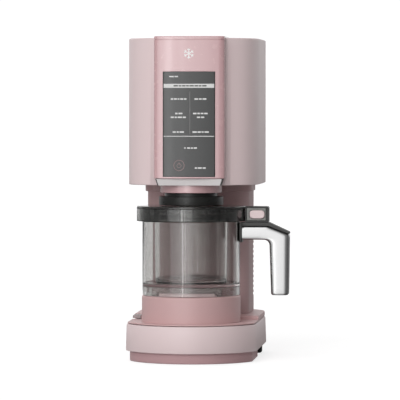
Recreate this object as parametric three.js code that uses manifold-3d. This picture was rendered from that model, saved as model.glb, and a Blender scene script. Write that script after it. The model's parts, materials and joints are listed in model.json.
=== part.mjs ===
// Countertop ice cream maker: a motor head over a bowl that twists onto a rising platform.
// Millimetres, +Z up, +Y to the back, X = 0 and Y = 0 on the spindle, Z = 0 on the table.
import * as THREE from 'three';
import { mergeVertices } from 'three/addons/utils/BufferGeometryUtils.js';
import Module from 'manifold-3d';

const wasm = await Module();
wasm.setup();

// ---- driving dimensions ----
const GAP = 0.3;                 // clearance between neighbouring pieces
const HOUSING_X = 1.2;           // the housing's mid plane, measured from the spindle
const ROUND = 40;                // facets of a large turned piece
const SMALL_ROUND = 16;          // facets of a small turned piece
const ARC = 12;                  // facets of one arc of a large outline

const BASE_FRONT = -71;
const BASE_FRONT_R = 86;
const BASE_HALF_FRONT = 81;
const BASE_HALF_REAR = 82;
const BASE_CORNER_R = 48;
const BASE_BACK = 188;
const PLINTH_INSET = 4;
const PLINTH_BACK = 64;
const PLINTH_BOTTOM = 0.4;
const PLINTH_TOP = 12.8;
const SCREW_ROW_Y = 50;
const BAND_BOTTOM = PLINTH_TOP + GAP;
const BAND_TOP = 46.7;
const BAND_DRAFT = 1;            // how much wider the band is at its bottom
const DECK_BOTTOM = 47.6;
const DECK_TOP = 49.3;
const BLOCK_TOP = 54;            // raised rear block that carries the column
const BLOCK_FRONT = 42;
const RELEASE_X = -68.5;         // inner side of the release button's notch
const RELEASE_BACK = 72;
const RELEASE_STEM_X = -72;
const RELEASE_STEM_Y = 57;

const COLUMN_HALF = 65.3;
const COLUMN_FRONT = 76;
const COLUMN_SPLIT = 148;
const COLUMN_BACK = 178;
const COLUMN_R = 16;
const COLUMN_TOP = 219.9;
const LEDGE_Z = 210;
const LEDGE_OUT = 3.1;
const VENT_COUNT = 8;
const VENT_PITCH = 10.5;
const VENT_Z = 74;

const HEAD_BOTTOM = 220.3;
const HEAD_TOP = 403.3;
const HEAD_HALF = 82.3;
const HEAD_FRONT = -28;
const HEAD_BACK = 184;
const HEAD_WALL = 3;
const FASCIA_HALF = 44;
const FASCIA_FRONT = -45;
const FASCIA_CROWN = 3;          // how far the middle of the fascia stands in front of its edges
const FASCIA_BOTTOM = 228.9;
const FASCIA_TOP = 405.3;
const FASCIA_WRAP = 24;          // how far the fascia runs back over the top
const PANEL_HALF = 32.3;
const PANEL_BOTTOM = 231.2;
const PANEL_TOP = 361.2;
const PANEL_THICK = 1.2;

const NECK_R = 38.6;
const NECK_BOTTOM = 210.6;
const COLLAR_R = 40.3;
const COLLAR_BOTTOM = 195;
const COLLAR_TOP = 206;
const COLLAR_BORE = 20;

const LIFT = 12;                 // how far the platform rises in its quarter turn
const PLATFORM_R = 61.7;
const PLATFORM_TOP = 82;
const SKIRT_BOTTOM = 30;         // stays clear of the base's floor when the platform is down
const KEY_TOP = 87;
const BOWL_R = 61;
const BOWL_WALL = 2.5;
const BOWL_BOTTOM = 82.9;
const BOWL_FLOOR = 94;
const BOWL_TOP = 175;
const SLOT_HALF = 11.4;          // slot under the bowl that the platform's key slides into
const SLOT_TOP = 88.2;
const PINT_R = 46;
const PINT_WALL = 2;
const PINT_BOTTOM = 96.8;
const PINT_TOP = 186;
const LID_R = 68;
const LID_WALL = 2.5;
const LID_TOP = 194.3;
const HUB_R = 15.6;
const TAB_HALF = 10;
const HANDLE_HALF = 11;
const GRIP_OUTER = 123.7;

const PULLEY_Z = 232;
const PULLEY_H = 14;
const DRIVE_PULLEY_R = 22;
const MOTOR_PULLEY_R = 9;
const BELT_THICK = 2;
const MOTOR_Y = 95;
const MOTOR_R = 37;
const SCREW_Y = 30;
const ROD_X = 26;
const CARRIAGE_Z = 338;
const FRAME_TOP = 378;

// ---- helpers ----
function solid(geometry) {
  const plain = geometry.clone();
  plain.deleteAttribute('normal');
  plain.deleteAttribute('uv');
  const merged = mergeVertices(plain, 1e-4);
  const index = merged.index.array;
  const at = merged.attributes.position;
  if (volume(merged) < 0) {
    for (let i = 0; i < index.length; i += 3) {
      const first = index[i];
      index[i] = index[i + 1];
      index[i + 1] = first;
    }
  }
  return new wasm.Manifold(new wasm.Mesh({
    numProp: 3,
    vertProperties: new Float32Array(at.array),
    triVerts: new Uint32Array(index),
  }));
}

function volume(geometry) {
  const at = geometry.attributes.position;
  const index = geometry.index.array;
  const corner = [new THREE.Vector3(), new THREE.Vector3(), new THREE.Vector3()];
  let sum = 0;
  for (let i = 0; i < index.length; i += 3) {
    corner.forEach((v, k) => v.fromBufferAttribute(at, index[i + k]));
    sum += corner[0].dot(corner[1].clone().cross(corner[2])) / 6;
  }
  return sum;
}

function surface(body) {
  const mesh = body.getMesh();
  const geometry = new THREE.BufferGeometry();
  geometry.setAttribute('position', new THREE.BufferAttribute(new Float32Array(mesh.vertProperties), 3));
  geometry.setIndex(new THREE.BufferAttribute(new Uint32Array(mesh.triVerts), 1));
  const flat = geometry.toNonIndexed();
  flat.computeVertexNormals();
  return flat;
}

function box(x0, x1, y0, y1, z0, z1) {
  const geometry = new THREE.BoxGeometry(x1 - x0, y1 - y0, z1 - z0);
  return solid(geometry.translate((x0 + x1) / 2, (y0 + y1) / 2, (z0 + z1) / 2));
}

// A closed profile of [radius, height] pairs turned about Z.
function turned(profile, facets = ROUND) {
  const points = profile.map(([r, z]) => new THREE.Vector2(r, z));
  if (profile[0][0] > 0) {
    points.push(points[0].clone());
  }
  return solid(new THREE.LatheGeometry(points, facets).rotateX(Math.PI / 2));
}

function rod(r, z0, z1, facets = SMALL_ROUND) {
  return turned([[0, z0], [r, z0], [r, z1], [0, z1]], facets);
}

function tube(r, bore, z0, z1, facets = ROUND) {
  return turned([[bore, z0], [r, z0], [r, z1], [bore, z1]], facets);
}

// A plan outline raised from z0 to z1, with its edges rounded by the bevel.
function slab(shape, z0, z1, bevel = 0, curve = 4) {
  const geometry = new THREE.ExtrudeGeometry(shape, {
    depth: z1 - z0 - 2 * bevel,
    bevelEnabled: bevel > 0,
    bevelThickness: bevel,
    bevelSize: bevel,
    bevelOffset: -bevel,
    bevelSegments: bevel > 2 ? 2 : 1,
    curveSegments: curve,
  });
  return solid(geometry.translate(0, 0, z0 + bevel));
}

// An outline drawn in X and Z, given thickness from front to back.
function upright(shape, front, back, bevel = 0) {
  return slab(shape, 0, back - front, bevel).rotate([90, 0, 0]).translate([0, back, 0]);
}

function rectangle(x0, x1, y0, y1, r) {
  const shape = new THREE.Shape();
  shape.absarc(x1 - r, y1 - r, r, 0, Math.PI / 2);
  shape.absarc(x0 + r, y1 - r, r, Math.PI / 2, Math.PI);
  shape.absarc(x0 + r, y0 + r, r, Math.PI, 1.5 * Math.PI);
  shape.absarc(x1 - r, y0 + r, r, 1.5 * Math.PI, 2 * Math.PI);
  return shape;
}

function polygon(points) {
  return new THREE.Shape(points.map(([x, y]) => new THREE.Vector2(x, y)));
}

function drilled(body, ...holes) {
  return holes.reduce((left, hole) => left.subtract(hole), body);
}

// ---- outlines ----
function baseOutline(inset) {
  const front = BASE_FRONT_R - inset;
  const half = BASE_HALF_FRONT - inset;
  const rear = BASE_HALF_REAR - inset;
  const corner = BASE_CORNER_R - inset;
  const back = BASE_BACK - BASE_CORNER_R;
  const reach = Math.asin(half / front);
  const shape = new THREE.Shape();
  shape.absarc(0, BASE_FRONT + BASE_FRONT_R, front, -Math.PI / 2 - reach, -Math.PI / 2 + reach);
  shape.absarc(rear - corner, back, corner, 0, Math.PI / 2);
  shape.absarc(corner - rear, back, corner, Math.PI / 2, Math.PI);
  return shape;
}

function headOutline(inset) {
  const side = HEAD_HALF - inset;
  const front = HEAD_FRONT + inset;
  const back = HEAD_BACK - inset;
  const corner = 45 - inset;
  const shape = new THREE.Shape();
  shape.moveTo(-FASCIA_HALF, front);
  shape.lineTo(FASCIA_HALF, front);
  shape.bezierCurveTo(68 - inset, front + 10.5, side, front + 20, side, front + 64);
  shape.absarc(side - corner, back - corner, corner, 0, Math.PI / 2);
  shape.absarc(corner - side, back - corner, corner, Math.PI / 2, Math.PI);
  shape.lineTo(-side, front + 64);
  shape.bezierCurveTo(-side, front + 20, inset - 68, front + 10.5, -FASCIA_HALF, front);
  return shape;
}

function fasciaOutline(inset) {
  const half = FASCIA_HALF - inset;
  const crown = FASCIA_FRONT + inset;
  const edge = crown + FASCIA_CROWN;
  const back = HEAD_FRONT - GAP;
  const shape = new THREE.Shape();
  shape.moveTo(half, back);
  shape.lineTo(-half, back);
  shape.lineTo(-half, edge + 5);
  shape.quadraticCurveTo(-half, edge, 5 - half, edge - 0.6);
  shape.quadraticCurveTo(0, 2 * crown - edge + 0.6, half - 5, edge - 0.6);
  shape.quadraticCurveTo(half, edge, half, edge + 5);
  return shape;
}

// ---- base ----
function basePlinth() {
  const cut = box(-99, 99, -99, PLINTH_BACK, 0, 20);
  const outer = slab(baseOutline(PLINTH_INSET), PLINTH_BOTTOM, PLINTH_TOP, 1, ARC).intersect(cut);
  const hollow = slab(baseOutline(PLINTH_INSET + 2.5), PLINTH_BOTTOM + 3.2, PLINTH_TOP + 1, 0, ARC);
  const inside = box(-99, 99, -99, PLINTH_BACK - 2.5, 0, 20).intersect(hollow);
  const pockets = padPlaces().map(([x, y]) => rod(9.3, 0, 2).translate([x, y, 0]));
  const screwPockets = [-58, 58].map((x) => rod(3.8, 0, 1.4, 12).translate([x, SCREW_ROW_Y, 0]));
  return drilled(outer, inside, ...pockets, ...screwPockets);
}

function padPlaces() {
  return [[-58, -22], [58, -22]];
}

function frontPad(place) {
  return rod(9, 0, 1.9).translate([place[0], place[1], 0]);
}

function rearFoot(side) {
  return slab(rectangle(side * 70 - 7, side * 70 + 7, 132, 160, 4), 0, PLINTH_TOP - GAP, 1);
}

function bottomScrew(side) {
  return rod(3.5, 0.3, 1.2, 12).translate([side * 58, SCREW_ROW_Y, 0]);
}

function baseBand() {
  const wall = slab(baseOutline(0), BAND_BOTTOM, BAND_TOP, 0.8, ARC);
  const hollow = slab(baseOutline(3), BAND_BOTTOM + 2.5, BAND_TOP + 1, 0, ARC);
  const mouth = slab(baseOutline(10), BAND_BOTTOM - 1, BAND_BOTTOM + 5, 0, ARC);
  const opening = mouth.intersect(box(-99, 99, -99, PLINTH_BACK - 6, 0, 30));
  return drilled(wall, hollow, opening).warp((v) => {
    const spread = 1 + BAND_DRAFT * (BAND_TOP - v[2]) / (BAND_TOP - BAND_BOTTOM) / BASE_HALF_REAR;
    v[0] *= spread;
    v[1] *= spread;
  });
}

function releaseNotch(clearance) {
  return box(-99, RELEASE_X + clearance, BLOCK_FRONT - 4, RELEASE_BACK, DECK_BOTTOM - 1, 60);
}

function baseDeck() {
  const plate = slab(baseOutline(1.2), DECK_BOTTOM, DECK_TOP, 0.6, ARC);
  const block = slab(baseOutline(0.8), DECK_TOP - 0.9, BLOCK_TOP, 1.2, ARC);
  const rear = block.intersect(box(-99, 99, BLOCK_FRONT, 200, 0, 99));
  const well = rod(PLATFORM_R + 0.7, 0, 99, ROUND).translate([-HOUSING_X, 0, 0]);
  return drilled(plate.add(rear), well, releaseNotch(0));
}

function releaseButton() {
  const cap = slab(baseOutline(1.4), DECK_TOP + 0.8, BLOCK_TOP - 0.3, 0.8, ARC);
  const kept = box(-99, RELEASE_X - 0.6, BLOCK_FRONT + 0.4, RELEASE_BACK - 0.6, 0, 99);
  const stem = rod(3, 24, DECK_TOP + 2).translate([RELEASE_STEM_X, RELEASE_STEM_Y, 0]);
  const seat = rod(5.4, 44.4, 46.4).translate([RELEASE_STEM_X, RELEASE_STEM_Y, 0]);
  return cap.intersect(kept).add(stem).add(seat);
}

class Helix extends THREE.Curve {
  getPoint(t, target = new THREE.Vector3()) {
    const angle = t * 5 * 2 * Math.PI;
    return target.set(4.4 * Math.cos(angle), 4.4 * Math.sin(angle), 19.5 * t);
  }
}

function releaseSpring() {
  const wire = new THREE.Shape();
  wire.absarc(0, 0, 0.5, 0, 2 * Math.PI);
  const path = new Helix();
  const geometry = new THREE.ExtrudeGeometry(wire, { steps: 40, extrudePath: path, curveSegments: 2 });
  return solid(geometry.translate(RELEASE_STEM_X, RELEASE_STEM_Y, 23.9));
}

function releaseGuide() {
  const shelf = box(-78, -66, 51, 63, 20.5, 23);
  return drilled(shelf, rod(3.4, 0, 99).translate([RELEASE_STEM_X, RELEASE_STEM_Y, 0]));
}

// ---- lifting platform ----
function liftPost() {
  return turned([[0, 3.9], [20, 3.9], [20, 7], [9, 7], [9, 60], [0, 60]], SMALL_ROUND * 2);
}

// A ring whose top climbs by the lift over each of two quarter turns.
function liftRampRing() {
  const inner = 50;
  const outer = 57;
  const foot = 3.9;
  const high = SKIRT_BOTTOM;
  const steps = 72;
  const rise = (degrees) => {
    const turn = ((degrees % 180) + 180) % 180;
    const drop = Math.min(1, Math.max(0, turn - 8) / 12);
    const climb = Math.max(0, turn - 90) / 90;
    return high - LIFT * (drop - climb);
  };
  const at = [];
  const index = [];
  for (let i = 0; i < steps; i += 1) {
    const degrees = 360 * i / steps;
    const c = Math.cos(degrees * Math.PI / 180);
    const s = Math.sin(degrees * Math.PI / 180);
    const top = rise(degrees);
    for (const [r, z] of [[inner, foot], [outer, foot], [outer, top], [inner, top]]) {
      at.push(r * c, r * s, z);
    }
    const here = 4 * i;
    const next = 4 * ((i + 1) % steps);
    for (let k = 0; k < 4; k += 1) {
      const l = (k + 1) % 4;
      index.push(here + k, next + k, next + l, here + k, next + l, here + l);
    }
  }
  const geometry = new THREE.BufferGeometry();
  geometry.setAttribute('position', new THREE.Float32BufferAttribute(at, 3));
  geometry.setIndex(index);
  return solid(geometry);
}

function liftCarrier() {
  return turned([[9.4, 30], [45, 30], [45, 33], [13, 33], [13, 70], [9.4, 70]], SMALL_ROUND * 2);
}

function platform() {
  const cup = turned([
    [13.3, 36], [17, 36], [17, 79], [58.5, 79], [58.5, SKIRT_BOTTOM], [PLATFORM_R, SKIRT_BOTTOM],
    [PLATFORM_R, PLATFORM_TOP - 1.5], [PLATFORM_R - 1.5, PLATFORM_TOP], [0, PLATFORM_TOP],
    [0, 79], [13.3, 79],
  ]);
  const key = polygon([
    [-39, PLATFORM_TOP - 1], [33.5, PLATFORM_TOP - 1], [28.5, KEY_TOP], [-39, KEY_TOP],
  ]);
  return cup.add(upright(key, -11, 11, 0));
}

function platformRoller(side) {
  const roller = rod(4, 50.5, 58.1, 16).rotate([0, 90, 0]);
  return roller.rotate([0, 0, side > 0 ? 0 : 180]).translate([0, 0, SKIRT_BOTTOM + 4.5]);
}

// ---- column ----
function columnOutline(grow) {
  const half = COLUMN_HALF + grow;
  return rectangle(-half, half, COLUMN_FRONT - grow, COLUMN_BACK + grow, COLUMN_R + grow);
}

function columnShell() {
  const bottom = BLOCK_TOP + GAP;
  const front = box(-99, 99, 0, COLUMN_SPLIT, 0, 400);
  const wall = slab(columnOutline(0), bottom, COLUMN_TOP);
  const ledge = slab(columnOutline(LEDGE_OUT), LEDGE_Z, COLUMN_TOP, 1);
  const hollow = slab(columnOutline(-2.5), 0, 400);
  return wall.add(ledge).intersect(front).subtract(hollow);
}

function rearCover() {
  const bottom = BLOCK_TOP + GAP;
  const rear = box(-99, 99, COLUMN_SPLIT + GAP, 200, 0, 400);
  const wall = slab(columnOutline(0), bottom, COLUMN_TOP).intersect(rear);
  const shell = wall.subtract(slab(columnOutline(-2.5), 0, 400));
  const vents = [];
  for (let i = 0; i < VENT_COUNT; i += 1) {
    const z = VENT_Z + i * VENT_PITCH;
    vents.push(box(40, 99, 153, 200, z, z + 5), box(-99, -40, 153, 200, z, z + 5));
  }
  const inlet = rod(7.3, -20, 20).rotate([90, 0, 0]).translate([0, COLUMN_BACK, 66]);
  return drilled(shell, inlet, ...vents);
}

function coverScrew(side) {
  return rod(3.2, 0, 1.6, 12).rotate([-90, 0, 0]).translate([side * 34, COLUMN_BACK + 0.1, 190]);
}

function cordGland() {
  const profile = [[3.6, -8], [6.9, -8], [6.9, 0.4], [9.5, 0.4], [8.5, 6], [3.6, 6]];
  return turned(profile, SMALL_ROUND).rotate([-90, 0, 0]).translate([0, COLUMN_BACK, 66]);
}

function powerBoard() {
  const board = box(-40, 40, 138, 139.6, 84, 196);
  const parts = [
    box(-30, -4, 118, 138.2, 96, 122),
    box(8, 32, 126, 138.2, 92, 110),
    rod(8, 0, 24.1).rotate([90, 0, 0]).translate([-18, 138.2, 150]),
    rod(6, 0, 18.1).rotate([90, 0, 0]).translate([16, 138.2, 140]),
    box(0, 30, 122, 138.2, 162, 186),
  ];
  return parts.reduce((whole, piece) => whole.add(piece), board);
}

// ---- head ----
function headShell() {
  const outer = slab(headOutline(0), HEAD_BOTTOM, HEAD_TOP, 2.5, 8);
  const inner = slab(headOutline(HEAD_WALL), HEAD_BOTTOM - 5, HEAD_TOP - HEAD_WALL, 0, 8);
  return outer.subtract(inner);
}

function headFloor() {
  const plate = slab(headOutline(HEAD_WALL + GAP), HEAD_BOTTOM + GAP, HEAD_BOTTOM + GAP + 3, 0, 8);
  const duct = box(-40, 40, 90, 130, 200, 240);
  return drilled(plate, rod(COLLAR_BORE, 200, 240, 32).translate([-HOUSING_X, 0, 0]), duct);
}

function headFascia() {
  const front = slab(fasciaOutline(0), FASCIA_BOTTOM, FASCIA_TOP, 1, 8);
  const hollow = slab(fasciaOutline(2.6), FASCIA_BOTTOM + 2, HEAD_TOP - 1, 0, 8);
  const open = hollow.add(box(-41, 41, HEAD_FRONT - 2, HEAD_FRONT + 1, FASCIA_BOTTOM + 2, HEAD_TOP - 1));
  const over = slab(
    rectangle(-FASCIA_HALF, FASCIA_HALF, HEAD_FRONT - 6, FASCIA_WRAP, 3),
    HEAD_TOP + GAP, FASCIA_TOP, 0.6);
  const window = box(-PANEL_HALF - GAP, PANEL_HALF + GAP, -60, -30, PANEL_BOTTOM - GAP, PANEL_TOP + GAP);
  const pocket = window.subtract(slab(fasciaOutline(PANEL_THICK + GAP), 200, 420, 0, 8));
  return drilled(front.subtract(open).add(over), pocket);
}

function controlPanel() {
  const window = box(-PANEL_HALF, PANEL_HALF, -60, -30, PANEL_BOTTOM, PANEL_TOP);
  const face = slab(fasciaOutline(0.05), 200, 420, 0, 8).intersect(window);
  return face.subtract(slab(fasciaOutline(PANEL_THICK), 190, 430, 0, 8));
}

function fasciaLip() {
  const outline = polygon([[-39.6, HEAD_BOTTOM], [39.6, HEAD_BOTTOM], [42.3, 228.5], [-42.3, 228.5]]);
  return upright(outline, FASCIA_FRONT + 3.4, HEAD_FRONT - GAP, 0.8);
}

function controlBoard() {
  return box(-28, 28, -35, -33.4, 240, 352).add(box(-10, 10, -33.5, -30.5, 262, 282));
}

function neckRing() {
  const top = HEAD_BOTTOM;
  return turned([
    [30, NECK_BOTTOM], [NECK_R - 1, NECK_BOTTOM], [NECK_R, NECK_BOTTOM + 1], [NECK_R, top], [30, top],
  ]);
}

function spindleCollar() {
  return turned([
    [COLLAR_BORE, COLLAR_BOTTOM], [COLLAR_R - 1, COLLAR_BOTTOM], [COLLAR_R, COLLAR_BOTTOM + 1],
    [COLLAR_R, COLLAR_TOP - 0.6], [COLLAR_R - 0.6, COLLAR_TOP], [33, COLLAR_TOP], [33, 210.3],
    [29.7, 210.3], [29.7, 220.2], [COLLAR_BORE, 220.2],
  ]);
}

function spindleSeal() {
  return tube(COLLAR_BORE - GAP, 8.4, 216, 219.9, SMALL_ROUND * 2);
}

// ---- drive in the head ----
function driveFrame() {
  const side = polygon([
    [-14, 374.3], [47.5, 374.3], [47.5, 224], [60, 224], [60, 227], [51.5, 227], [51.5, 256],
    [135, 256], [135, 260], [51.5, 260], [51.5, FRAME_TOP], [-14, FRAME_TOP],
  ]);
  const body = slab(side, -36, 36).rotate([90, 0, 90]);
  return drilled(
    body,
    box(-32, 32, 40, 56, 229, 250),
    rod(7, 250, 270).translate([0, MOTOR_Y, 0]),
    rod(5.4, 370, 380).translate([0, SCREW_Y, 0]),
  );
}

function motorCan() {
  const top = 362;
  return turned([
    [6, 260.3], [MOTOR_R, 260.3], [MOTOR_R, top], [6, top], [6, top - 3],
    [MOTOR_R - 3, top - 3], [MOTOR_R - 3, 263.3], [6, 263.3],
  ], 32).translate([0, MOTOR_Y, 0]);
}

function motorRotor() {
  return turned([
    [0, 230], [4, 230], [4, 272], [27, 272], [27, 350], [4, 350], [4, 372], [0, 372],
  ], 20).translate([0, MOTOR_Y, 0]);
}

function motorPulley() {
  return tube(MOTOR_PULLEY_R, 4.2, PULLEY_Z, PULLEY_Z + PULLEY_H, 20).translate([0, MOTOR_Y, 0]);
}

function motorFan() {
  const hub = tube(10, 4.2, 364, 371, 20);
  const blade = box(9, 31, -1, 1, 364, 371);
  let fan = hub;
  for (let i = 0; i < 8; i += 1) {
    fan = fan.add(blade.rotate([0, 0, 45 * i]));
  }
  return fan.translate([0, MOTOR_Y, 0]);
}

function beltLoop(offset) {
  const large = DRIVE_PULLEY_R + offset;
  const small = MOTOR_PULLEY_R + offset;
  const lean = Math.asin((large - small) / MOTOR_Y);
  const shape = new THREE.Shape();
  shape.absarc(0, MOTOR_Y, small, lean, Math.PI - lean);
  shape.absarc(0, 0, large, Math.PI - lean, 2 * Math.PI + lean);
  return slab(shape, PULLEY_Z + 2, PULLEY_Z + PULLEY_H - 2, 0, ARC);
}

function driveBelt() {
  return beltLoop(GAP + BELT_THICK).subtract(beltLoop(GAP));
}

// The bore is six-sided, so the pulley turns the spindle and lets it slide.
function drivePulley() {
  const hex = rod(7.9, 200, 260, 6);
  return drilled(rod(DRIVE_PULLEY_R, PULLEY_Z, PULLEY_Z + PULLEY_H, 32), hex);
}

function spindle() {
  const shaft = rod(7.5, 213, 356, 6);
  const nose = turned([[0, 202], [11, 202], [12, 203], [12, 214], [0, 214]], SMALL_ROUND);
  const square = rod(6.3, 196, 203, 4);
  const lower = rod(11, 334, CARRIAGE_Z - GAP);
  const upper = rod(11, 350.3, 354);
  const journal = rod(8.2, 333, 355);
  return [nose, square, lower, upper, journal].reduce((whole, piece) => whole.add(piece), shaft);
}

function carriage() {
  const plate = slab(rectangle(-34, 34, -15, 43, 6), CARRIAGE_Z, 350, 0);
  return drilled(
    plate,
    rod(8.6, 300, 400),
    rod(5.3, 300, 400).translate([0, SCREW_Y, 0]),
    rod(4.3, 300, 400).translate([-ROD_X, SCREW_Y, 0]),
    rod(4.3, 300, 400).translate([ROD_X, SCREW_Y, 0]),
  );
}

function guideRod(side) {
  return rod(4, 224, 374, 16).translate([side * ROD_X, SCREW_Y, 0]);
}

function feedScrew() {
  const profile = [[0, 238]];
  for (let i = 0; i < 8; i += 1) {
    const z = 238 + i * 17;
    profile.push([5, z], [5, z + 14], [4.3, z + 15.5]);
  }
  profile.push([4.3, 376.5], [0, 376.5]);
  return turned(profile, 12).translate([0, SCREW_Y, 0]);
}

function feedMotor() {
  const can = rod(15, FRAME_TOP + GAP, 396).translate([0, SCREW_Y, 0]);
  return can.add(box(-15, 15, SCREW_Y, 50, FRAME_TOP + GAP, 386));
}

// ---- bowl, pint and lid ----
function outerBowl() {
  const inner = BOWL_R - BOWL_WALL;
  const cup = turned([
    [0, BOWL_FLOOR], [inner, BOWL_FLOOR], [inner, BOWL_BOTTOM], [BOWL_R, BOWL_BOTTOM],
    [BOWL_R, BOWL_TOP], [inner, BOWL_TOP], [inner, BOWL_FLOOR + 3.5], [inner - 1, BOWL_FLOOR + 2.5],
    [0, BOWL_FLOOR + 2.5],
  ]);
  return drilled(cup, box(-70, -50, -SLOT_HALF, SLOT_HALF, 80, SLOT_TOP));
}

function keyChannel() {
  const block = box(-54, 38, -14, 14, BOWL_BOTTOM, BOWL_FLOOR - 0.1);
  return drilled(block, box(-70, 34, -SLOT_HALF, SLOT_HALF, 80, SLOT_TOP));
}

function handleMount() {
  return box(BOWL_R + GAP, 63.4, -12, 12, 149, 173.6);
}

function handleOutline() {
  const shape = new THREE.Shape();
  shape.moveTo(63.7, 169.3);
  shape.lineTo(97.6, 169.3);
  shape.lineTo(116.4, 161.9);
  shape.quadraticCurveTo(GRIP_OUTER, 158.6, GRIP_OUTER, 150);
  shape.lineTo(122.9, 87.5);
  shape.quadraticCurveTo(122.8, 82.9, 118.2, 82.9);
  shape.lineTo(104.9, 82.9);
  shape.quadraticCurveTo(100.4, 82.9, 100.3, 87.5);
  shape.lineTo(98.4, 143);
  shape.quadraticCurveTo(98, 151.9, 89, 151.9);
  shape.lineTo(63.7, 151.9);
  return shape;
}

function handleGrip() {
  return upright(handleOutline(), -HANDLE_HALF, HANDLE_HALF, 3);
}

function handleStrap() {
  const outline = polygon([
    [63.7, 169.7], [97.7, 169.7], [122.8, 161.6], [123.2, 163.6], [98, 173.7], [63.7, 173.7],
  ]);
  return upright(outline, 0.5 - HANDLE_HALF, HANDLE_HALF - 0.5, 0.6);
}

function pint() {
  const inner = PINT_R - PINT_WALL;
  return turned([
    [0, PINT_BOTTOM], [PINT_R - 4, PINT_BOTTOM], [PINT_R - 1.2, PINT_BOTTOM + 3], [PINT_R, 180],
    [PINT_R + 2, 181], [PINT_R + 2, PINT_TOP], [inner, PINT_TOP], [inner - 1, PINT_BOTTOM + 5],
    [inner - 4, PINT_BOTTOM + 2], [0, PINT_BOTTOM + 2],
  ]);
}

function lid() {
  const under = LID_TOP - LID_WALL;
  return turned([
    [HUB_R + 0.5, under], [55.8, under], [55.8, 169], [58, 169], [58, under], [LID_R - LID_WALL, under],
    [LID_R - LID_WALL, BOWL_TOP + 0.4], [LID_R, BOWL_TOP + 0.4], [LID_R, LID_TOP - 1.2],
    [LID_R - 1.2, LID_TOP], [HUB_R + 0.5, LID_TOP],
  ]);
}

function lidGasket() {
  return tube(50, 43.5, PINT_TOP + 0.4, LID_TOP - LID_WALL - 0.2);
}

function lidTab() {
  const outline = new THREE.Shape();
  outline.moveTo(68.6, 174.1);
  outline.lineTo(97.6, 174.1);
  outline.lineTo(97.6, 189);
  outline.quadraticCurveTo(97.6, 193.7, 92.6, 193.7);
  outline.lineTo(68.6, 193.7);
  const body = upright(outline, -TAB_HALF, TAB_HALF, 0);
  const recess = upright(rectangle(70.2, 94.6, 176, 191.9, 2.5), -TAB_HALF - 1, -TAB_HALF + 1.6, 0);
  const well = upright(buttonOutline(0.7), -TAB_HALF - 1, -2.4, 0);
  return drilled(body, recess, well);
}

function buttonOutline(grow) {
  return rectangle(74 - grow, 92.6 + grow, 178.7 - grow, 188.7 + grow, 4.9 + grow);
}

function tabWindow() {
  const plate = upright(rectangle(70.5, 94.3, 176.3, 191.6, 2.2), -TAB_HALF + 0.2, -TAB_HALF + 1.4, 0);
  return plate.subtract(upright(buttonOutline(0.5), -TAB_HALF - 1, 0, 0));
}

function lidButton() {
  return upright(buttonOutline(0), -TAB_HALF - 1.6, -TAB_HALF + 4, 0.8);
}

function lidHub() {
  const bore = HUB_R - 2.4;
  return turned([
    [bore, 186.3], [18, 186.3], [18, LID_TOP - LID_WALL - GAP], [HUB_R, LID_TOP - LID_WALL - GAP],
    [HUB_R, LID_TOP + 0.2], [bore, LID_TOP + 0.2],
  ], SMALL_ROUND * 2);
}

function paddle() {
  const hub = turned([[0, 176], [12.6, 176], [12.6, 188], [0, 188]], SMALL_ROUND);
  const socket = rod(6.8, 180.5, 190, 4);
  const blade = slab(rectangle(2, 42, -4.5, 4.5, 4), -1.6, 1.6, 0).rotate([24, 0, 0]);
  const blades = [0, 90, 180, 270].map((turn) => blade.rotate([0, 0, turn]).translate([0, 0, 179]));
  return blades.reduce((whole, piece) => whole.add(piece), hub).subtract(socket);
}

// ---- materials ----
const PINK = { color: 0xdcc6c7, roughness: 0.42, metalness: 0.1 };
const GLOSS = { color: 0xd9b4b6, roughness: 0.12, metalness: 0.1 };
const SOFT_PINK = { color: 0xc29e9e, roughness: 0.45, metalness: 0.05 };
const COLUMN_PINK = { color: 0x8f7a7a, roughness: 0.45, metalness: 0.05 };
const LIGHT_GREY = { color: 0xc5c1c2, roughness: 0.4, metalness: 0.05 };
const PANEL = { color: 0x5c5c5c, roughness: 0.25, metalness: 0 };
const BLACK = { color: 0x1b1b1a, roughness: 0.4, metalness: 0 };
const RUBBER = { color: 0x141414, roughness: 0.85, metalness: 0 };
const SMOKE = { color: 0x4c4c4a, roughness: 0.12, metalness: 0 };
const CLEAR = { color: 0xb8bcba, roughness: 0.15, metalness: 0 };
const SILVER = { color: 0xa9a9aa, roughness: 0.3, metalness: 0.6 };
const STEEL = { color: 0x9a9da0, roughness: 0.35, metalness: 1 };
const BOARD = { color: 0x2f6b45, roughness: 0.6, metalness: 0 };
const NYLON = { color: 0xd8d6cf, roughness: 0.5, metalness: 0 };

function piece(group, name, body, look) {
  const mesh = new THREE.Mesh(surface(body), new THREE.MeshStandardMaterial(look));
  mesh.name = name;
  group.add(mesh);
}

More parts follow.
